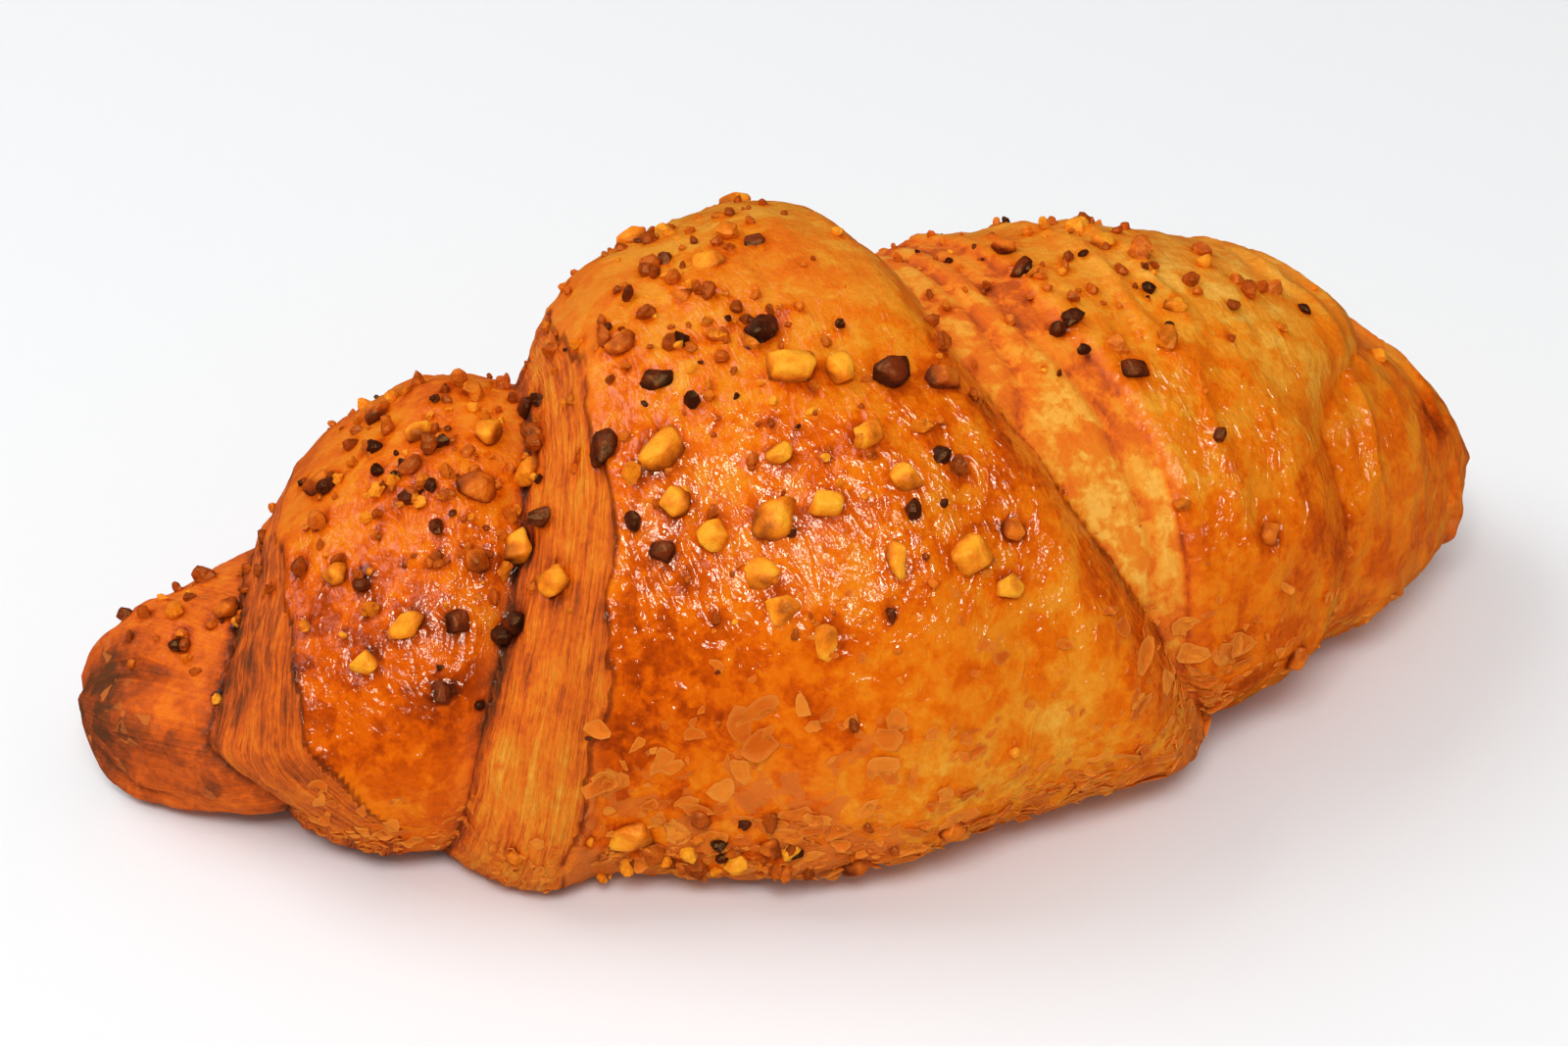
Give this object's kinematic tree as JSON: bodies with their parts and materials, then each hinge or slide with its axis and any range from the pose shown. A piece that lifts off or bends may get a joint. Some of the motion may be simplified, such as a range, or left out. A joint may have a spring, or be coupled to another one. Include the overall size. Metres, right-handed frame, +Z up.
{
  "type": "nut-topped croissant",
  "caption": "Plump baked croissant of rolled laminated dough with curled tapering ends and chopped hazelnuts pressed into its crust.",
  "frame": {"origin": "middle of the footprint, on the surface the croissant rests on", "axes": "+X along the roll, from the slim pinched end to the fuller end; +Y towards the side both ends curl to; +Z up"},
  "size_m": [0.1764, 0.0918, 0.0624],
  "materials": {
    "baked_dough": "satin",
    "golden_hazelnut": "satin",
    "toasted_hazelnut": "satin",
    "dark_roasted_nut": "satin"
  },
  "bodies": {
    "root": {"dough": "baked_dough", "nut_brown_19": "toasted_hazelnut", "nut_brown_20": "toasted_hazelnut", "nut_brown_21": "toasted_hazelnut", "nut_brown_22": "toasted_hazelnut", "nut_brown_23": "toasted_hazelnut", "nut_brown_24": "toasted_hazelnut", "nut_brown_25": "toasted_hazelnut", "nut_brown_35": "toasted_hazelnut", "nut_brown_36": "toasted_hazelnut", "nut_brown_37": "toasted_hazelnut", "nut_brown_42": "toasted_hazelnut", "nut_brown_47": "toasted_hazelnut", "nut_brown_48": "toasted_hazelnut", "nut_brown_53": "toasted_hazelnut", "nut_brown_54": "toasted_hazelnut", "nut_dark_26": "dark_roasted_nut", "nut_dark_27": "dark_roasted_nut", "nut_dark_28": "dark_roasted_nut", "nut_dark_29": "dark_roasted_nut", "nut_dark_30": "dark_roasted_nut", "nut_dark_31": "dark_roasted_nut", "nut_dark_32": "dark_roasted_nut", "nut_dark_41": "dark_roasted_nut", "nut_dark_46": "dark_roasted_nut", "nut_dark_49": "dark_roasted_nut", "nut_dark_50": "dark_roasted_nut", "nut_dark_57": "dark_roasted_nut", "nut_golden_01": "golden_hazelnut", "nut_golden_02": "golden_hazelnut", "nut_golden_03": "golden_hazelnut", "nut_golden_04": "golden_hazelnut", "nut_golden_05": "golden_hazelnut", "nut_golden_06": "golden_hazelnut", "nut_golden_07": "golden_hazelnut", "nut_golden_08": "golden_hazelnut", "nut_golden_09": "golden_hazelnut", "nut_golden_10": "golden_hazelnut", "nut_golden_11": "golden_hazelnut", "nut_golden_12": "golden_hazelnut", "nut_golden_13": "golden_hazelnut", "nut_golden_14": "golden_hazelnut", "nut_golden_15": "golden_hazelnut", "nut_golden_16": "golden_hazelnut", "nut_golden_17": "golden_hazelnut", "nut_golden_18": "golden_hazelnut", "nut_golden_33": "golden_hazelnut", "nut_golden_34": "golden_hazelnut", "nut_golden_38": "golden_hazelnut", "nut_golden_39": "golden_hazelnut", "nut_golden_40": "golden_hazelnut", "nut_golden_43": "golden_hazelnut", "nut_golden_44": "golden_hazelnut", "nut_golden_45": "golden_hazelnut", "nut_golden_51": "golden_hazelnut", "nut_golden_52": "golden_hazelnut", "nut_golden_55": "golden_hazelnut", "nut_golden_56": "golden_hazelnut", "nut_golden_58": "golden_hazelnut"}
  },
  "joints": []
}
